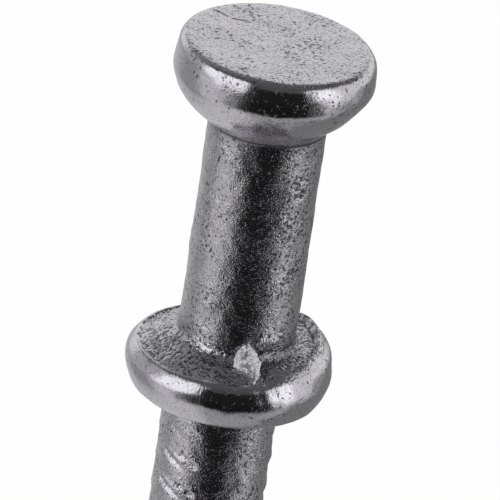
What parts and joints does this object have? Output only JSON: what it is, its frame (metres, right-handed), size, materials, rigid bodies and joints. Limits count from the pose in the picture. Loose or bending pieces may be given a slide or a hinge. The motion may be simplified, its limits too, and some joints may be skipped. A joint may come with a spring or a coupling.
{
  "type": "double-headed spike",
  "caption": "Double-headed (duplex) round steel spike: a struck head on a neck above a collar, grip-marked wire shank and four-sided point, for nailing that is pulled again.",
  "frame": {"origin": "on the wire's axis, in the plane of the collar's underside, which is the face that stops on the timber", "axes": "+Z along the wire towards the struck head; the grip dies close along X, and their parting line with its flash fins lies at -Y and +Y"},
  "size_m": [0.0074, 0.0074, 0.09],
  "materials": {
    "bright_steel": "bright tumbled low-carbon steel, finely pitted, smoother on the struck head and on the rims"
  },
  "bodies": {
    "root": {"head": "bright_steel", "neck": "bright_steel", "collar": "bright_steel", "grip_zone": "bright_steel", "shank": "bright_steel", "point": "bright_steel"}
  },
  "joints": []
}
